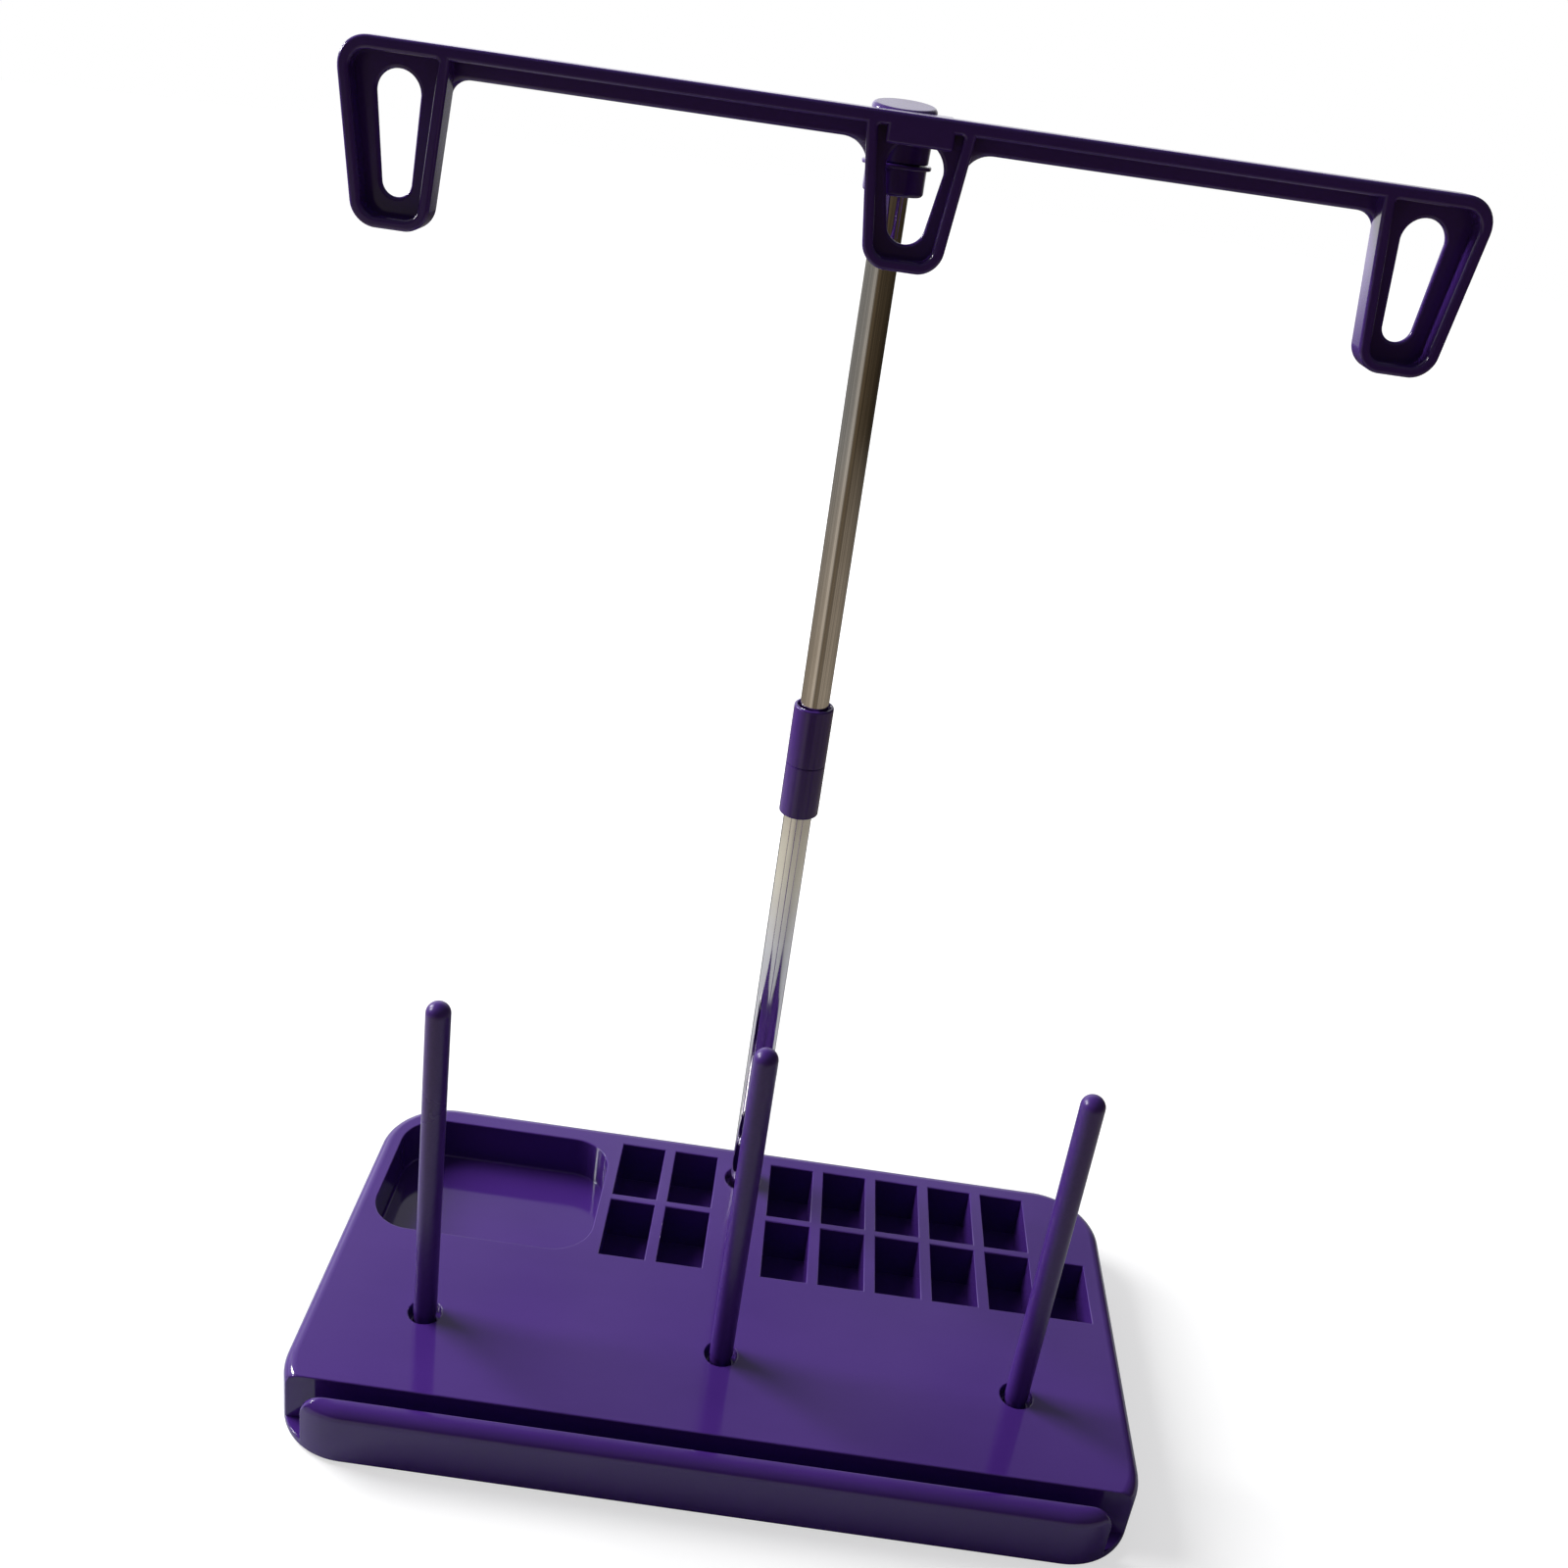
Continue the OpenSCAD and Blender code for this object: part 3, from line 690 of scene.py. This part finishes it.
left_x, right_x = bar_x - loop_pitch, bar_x + loop_pitch
bar = block("guide_bar_moulding", (left_x, bar_front, bar_top - rib_t), (right_x, bar_back, bar_top))
web = block("web", (left_x, web_front, bar_top - bar_h), (right_x, bar_back, bar_top - rib_t / 2))
combine(bar, web, "UNION")
for side in (-1, 1):
    combine(bar, end_loop("loop", side, 0, 0, bar_front, bar_back, 0), "UNION")
middle = loop_block("loop", mid_x, mid_half_w, mid_h, 0, 0, bar_front, bar_back, 0, 0)
combine(bar, middle, "UNION")
merge_flat(bar)

# Round corners between the web's lower edge and the loops
end_fillet_r, mid_fillet_r = 4 * mm, 5.5 * mm
end_reach = loop_pitch - end_half_w + loop_taper * bar_h
mid_reach = mid_half_w - loop_taper * bar_h
near = 0.2 * mm
for x, reach, r in ((bar_x, end_reach, end_fillet_r), (mid_x, mid_reach, mid_fillet_r)):
    round_edges(bar, r, 10, lambda edge: runs_deep(edge) and is_at(edge, bar_top - bar_h)
                and abs(abs(edge.verts[0].co.x - x) - reach) < near)

# The recess inside each loop's rim, and the eye through its web
end_eye = {"top_drop": 6.4 * mm, "top_r": 5.1 * mm, "bottom_rise": 6.8 * mm, "bottom_r": 3.5 * mm}
mid_eye = {"top_drop": 5.5 * mm, "top_r": 6.7 * mm, "bottom_rise": 5.6 * mm, "bottom_r": 4.5 * mm}
for side in (-1, 1):
    recess = end_loop("recess", side, rim_t, rib_t, bar_front - past, web_front, loop_sharp_r)
    combine(bar, recess, "DIFFERENCE")
    combine(bar, eye("eye", bar_x + side * loop_pitch, end_h, **end_eye), "DIFFERENCE")
recess = loop_block("recess", mid_x, mid_half_w, mid_h, rim_t, rib_t, bar_front - past, web_front,
                    loop_sharp_r, loop_sharp_r)
combine(bar, recess, "DIFFERENCE")
combine(bar, eye("eye", mid_x, mid_h, **mid_eye), "DIFFERENCE")

# The block that joins the middle loop to the hub, and the hub, a slight cone whose top falls
# to the front
block_half_w = 7.7 * mm
hub_low_r, hub_high_r, hub_edge_r = 7.4 * mm, 7.85 * mm, 1.1 * mm
hub_slope = math.radians(7)
hub_gap, bore_gap, bore_h = 0.15 * mm, 0.06 * mm, 8.9 * mm
hub_low_z = bearing_z + hub_gap
joint = block("joint", (mid_x - block_half_w, bar_front, bar_top - bar_h),
              (mid_x + block_half_w, mast_axis[1] - spigot_r / 2, bar_top))
combine(bar, joint, "UNION")
hub = rod("hub", mast_axis, hub_low_z, bar_high.z + past, hub_high_r, 96)
pick(hub, "FACE", faces_down)
narrow = hub_low_r / hub_high_r
bpy.ops.transform.resize(value=(narrow, narrow, 1), center_override=(*mast_axis, hub_low_z))
close()
hub_back = Vector((mast_axis[0], mast_axis[1] + hub_high_r, bar_high.z))
hub_normal = Vector((0, -math.sin(hub_slope), math.cos(hub_slope)))
pick(hub, "FACE", is_any)
bpy.ops.mesh.bisect(plane_co=hub_back, plane_no=hub_normal, use_fill=True, clear_outer=True)
close()
round_edges(hub, hub_edge_r, 5, lambda edge: is_sharp(edge)
            and all(abs((point.co - hub_back).dot(hub_normal)) < tiny for point in edge.verts))
combine(bar, hub, "UNION")
bore = rod("bore", mast_axis, hub_low_z - past, bearing_z + bore_h, spigot_r + bore_gap, 96)
combine(bar, bore, "DIFFERENCE")

# The hub's mouth is thin and has a small radius; all other edges are generously rounded
bar_edge_r = 0.9 * mm
merge_flat(bar)
round_edges(bar, soft_edge, 3, lambda edge: is_sharp(edge) and is_at(edge, hub_low_z))
round_edges(bar, bar_edge_r, 4, is_sharp)
finish_surface(bar)
satin = moulded_plastic("purple_satin", purple_light, purple_dark, low_rough=0.12, high_rough=0.19)
bar.data.materials.append(satin)
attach(bar, "guide")
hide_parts("guide_bar")


# Stage
#
# A white floor that keeps the rack's soft shadow, a soft key light with two narrow panes on the
# left, and a room that is bright behind the rack and dim elsewhere.

floor_r = 4
bpy.ops.object.select_all(action="DESELECT")
bpy.ops.mesh.primitive_circle_add(vertices=96, radius=floor_r, fill_type="NGON")
floor = bpy.context.object
floor.name = "floor"
paper, tree, shader, place = new_material("floor_paper")
tree.nodes.remove(shader)


def apart(tree, place, centre):
    """The way from a centre to the point, and how far that is."""
    away = add_node(tree, "VectorMath", {0: place, 1: centre}, operation="SUBTRACT").outputs["Vector"]
    length = add_node(tree, "VectorMath", {0: away}, operation="LENGTH").outputs["Value"]
    return away, length


def levels(tree, turn, stops):
    """Light around the rack, from the back by the left, the front and the right to the back.

    Each stop is a share of the turn, a level of light and how warm it is.
    """
    ramp = add_node(tree, "ValToRGB", {"Fac": turn})
    elements = ramp.color_ramp.elements
    while len(elements) < len(stops):
        elements.new(0.5)
    for element, (share, level, warmth) in zip(elements, stops):
        element.position = share
        element.color = (level, level * (1 - 0.27 * warmth), level * (1 - 0.55 * warmth), 1.0)
    return ramp.outputs["Color"]


def mix_shaders(tree, share, first, second):
    """A shader between two, by a share from 0 to 1."""
    return add_node(tree, "MixShader", {0: share, 1: first, 2: second}).outputs["Shader"]


# What the rack sees of the table. Close by it is pale and cool, a hand further beige, and right
# behind the rack painted dark as shade. Beyond that the table glows with painted light: the left
# side is bright, the front is dark, the right side darkens with the distance, and the back is
# bright from two metres on.
away, distance = apart(tree, place, (*mast_axis, 0))
spread = add_node(tree, "SeparateXYZ", {"Vector": away})
forward = product(tree, spread.outputs["Y"], -1.0)
angle = add_node(tree, "Math", {0: spread.outputs["X"], 1: forward}, operation="ARCTAN2")
turn = ranged(tree, angle.outputs["Value"], 0.0, 1.0, -math.pi, math.pi)
cool_to_beige, table_to_room = (0.17, 0.24), (0.24, 0.4)
middle_to_far, far_to_horizon = (0.5, 1.15), (1.4, 2.2)
cool, beige, painted_shade = (0.5, 0.51, 0.56, 1.0), (0.52, 0.495, 0.43, 1.0), (0.05, 0.05, 0.055, 1.0)
close_colour = blend_colours(tree, ranged(tree, distance, 0.0, 1.0, *cool_to_beige), cool, beige)
# Painted shade: the close table right behind the rack is dark, and elsewhere it keeps its cool and beige
# colour.
outside_painted_shade = levels(tree, turn, (
    (0.0, 0.0, 0.0), (0.08, 0.0, 0.0), (0.12, 1.0, 0.0),
    (0.88, 1.0, 0.0), (0.92, 0.0, 0.0), (1.0, 0.0, 0.0)))
close_colour = blend_colours(tree, outside_painted_shade, painted_shade, close_colour)
table = add_node(tree, "BsdfDiffuse", {"Color": close_colour})
# Painted light: the table farther out glows at these levels around the rack, in uneven streaks.
middle_levels = levels(tree, turn, (
    (0.0, 0.08, 0.5), (0.16, 0.3, 0.6), (0.37, 0.38, 0.6), (0.43, 0.54, 0.5), (0.48, 0.15, 0.8),
    (0.52, 0.18, 0.8), (0.58, 0.36, 0.6), (0.84, 0.28, 0.6), (1.0, 0.08, 0.5)))
far_levels = levels(tree, turn, (
    (0.0, 0.08, 0.2), (0.12, 0.25, 0.1), (0.36, 0.26, 0.2), (0.44, 0.42, 0.3), (0.475, 0.11, 1.0),
    (0.6, 0.07, 1.0), (0.8, 0.03, 1.0), (1.0, 0.05, 0.5)))
horizon_levels = levels(tree, turn, (
    (0.0, 1.6, 0.0), (0.06, 1.6, 0.0), (0.09, 0.25, 0.1), (0.36, 0.24, 0.2), (0.44, 0.36, 0.3),
    (0.475, 0.1, 1.0), (0.6, 0.06, 1.0), (0.93, 0.025, 1.0), (0.955, 0.3, 0.0), (1.0, 0.7, 0.0)))
farther = ranged(tree, distance, 0.0, 1.0, *middle_to_far)
room_levels = blend_colours(tree, farther, middle_levels, far_levels)
farthest = ranged(tree, distance, 0.0, 1.0, *far_to_horizon)
room_levels = blend_colours(tree, farthest, room_levels, horizon_levels)
direction = add_node(tree, "VectorMath", {0: away}, operation="NORMALIZE").outputs["Vector"]
glow_streaks = ranged(tree, noise(tree, direction, 8.0, 3.0), 0.55, 1.35)
far_table_glow = add_node(tree, "Emission", {"Color": room_levels, "Strength": glow_streaks})
beyond = ranged(tree, distance, 0.0, 1.0, *table_to_room)
seen_table = mix_shaders(tree, beyond, table.outputs["BSDF"], far_table_glow.outputs["Emission"])

# What the camera sees: a white ground that keeps the rack's soft shadow
shadow_centre, shadow_edge, shadow_lift = (-0.1, 0, 0), (0.24, 0.36), 0.62
away, distance = apart(tree, place, shadow_centre)
outside = ranged(tree, distance, shadow_lift, 1.0, *shadow_edge)
lift = add_node(tree, "Emission", {"Color": (1.0, 1.0, 1.0, 1.0), "Strength": outside})
shade = add_node(tree, "BsdfDiffuse", {"Color": (0.45, 0.45, 0.45, 1.0)})
paper_shader = add_node(tree, "AddShader", {0: shade.outputs["BSDF"], 1: lift.outputs["Emission"]})
seen = add_node(tree, "LightPath").outputs["Is Camera Ray"]
both = mix_shaders(tree, seen, seen_table, paper_shader.outputs["Shader"])
tree.links.new(both, tree.nodes["Material Output"].inputs["Surface"])
floor.data.materials.append(paper)


def softbox(name, place, target, width, height, power):
    """A rectangular lamp that faces a point."""
    bpy.ops.object.select_all(action="DESELECT")
    bpy.ops.object.light_add(type="AREA", location=place)
    lamp = bpy.context.object
    lamp.name = name
    lamp.data.shape = "RECTANGLE"
    lamp.data.size, lamp.data.size_y = width, height
    lamp.data.energy = power
    lamp.rotation_euler = (Vector(target) - Vector(place)).to_track_quat("-Z", "Y").to_euler()
    return lamp


lit_point = (0, 0, 0.05)
key_light = softbox("key_light", (-1.02, 0.34, 0.82), lit_point, width=0.62, height=0.75, power=28)
key_light.visible_glossy = False
for y in (-0.04, 0.42):
    pane = softbox("window_pane", (-1.02, y, 0.67), lit_point, width=0.1, height=0.26, power=6)
    pane.visible_diffuse = False

# The room that the rack mirrors: dim walls, and a glow behind the rack and to its left
world = bpy.data.worlds.new("room")
world.use_nodes = True
bpy.context.scene.world = world
tree = world.node_tree
tree.nodes.clear()
direction = add_node(tree, "TexCoord").outputs["Generated"]
height = add_node(tree, "SeparateXYZ", {"Vector": direction}).outputs["Z"]
glow_way = (-0.5, 0.87, 0.0)
towards = add_node(tree, "VectorMath", {0: direction, 1: glow_way}, operation="DOT_PRODUCT")
side_share = ranged(tree, towards.outputs["Value"], 0.0, 1.0, 0.3, 0.95)
share = product(tree, side_share, ranged(tree, height, 1.0, 0.3, 0.6, 0.95))
bands = add_node(tree, "Mapping", {"Vector": direction, "Scale": (1.0, 1.0, 0.3)}).outputs["Vector"]
uneven = noise(tree, bands, 9.0, 4.0, 0.6)
low_wall, ceiling = (0.075, 0.055, 0.042, 1.0), (0.13, 0.13, 0.15, 1.0)
walls = blend_colours(tree, ranged(tree, height, 0.0, 1.0, 0.1, 0.7), low_wall, ceiling)
dim = add_node(tree, "Background", {"Color": walls, "Strength": ranged(tree, uneven, 0.6, 1.4)})
glow_rise = ranged(tree, height, 1.0, 1.35, 0.02, 0.12)
glow_fall = ranged(tree, height, 1.0, 0.75, 0.3, 0.5)
glow = product(tree, product(tree, glow_rise, glow_fall), ranged(tree, uneven, 0.7, 1.5))
bright = add_node(tree, "Background", {"Color": (0.98, 0.98, 1.0, 1.0), "Strength": glow})
room = mix_shaders(tree, share, dim.outputs["Background"], bright.outputs["Background"])
backdrop = add_node(tree, "Background", {"Color": (1.0, 1.0, 1.0, 1.0), "Strength": 1.0})
seen = add_node(tree, "LightPath").outputs["Is Camera Ray"]
shown = mix_shaders(tree, seen, room, backdrop.outputs["Background"])
add_node(tree, "OutputWorld", {"Surface": shown})


# Camera
#
# It stands in front of the rack, a little above its top, looks down at the middle of the mast,
# and is rolled by about eight degrees.

camera_place = Vector((-7.2, -352.1, 347.3)) * mm
camera_yaw, camera_pitch, camera_roll = (math.radians(angle) for angle in (0.299, 25.374, 8.318))
focal_px, frame_px, sensor_mm = 1616.07, 1600, 36
level = math.cos(camera_pitch)
ahead = Vector((math.sin(camera_yaw) * level, math.cos(camera_yaw) * level, -math.sin(camera_pitch)))
right = Vector((math.cos(camera_yaw), -math.sin(camera_yaw), 0))
up = right.cross(ahead)
rolled_right = right * math.cos(camera_roll) + up * math.sin(camera_roll)
rolled_up = up * math.cos(camera_roll) - right * math.sin(camera_roll)
bpy.ops.object.camera_add()
camera = bpy.context.object
turned = Matrix((rolled_right, rolled_up, -ahead)).transposed().to_4x4()
camera.matrix_world = Matrix.Translation(camera_place) @ turned
camera.data.sensor_width = sensor_mm
camera.data.lens = sensor_mm * focal_px / frame_px
bpy.context.scene.camera = camera
bpy.context.scene.view_settings.view_transform = "Standard"
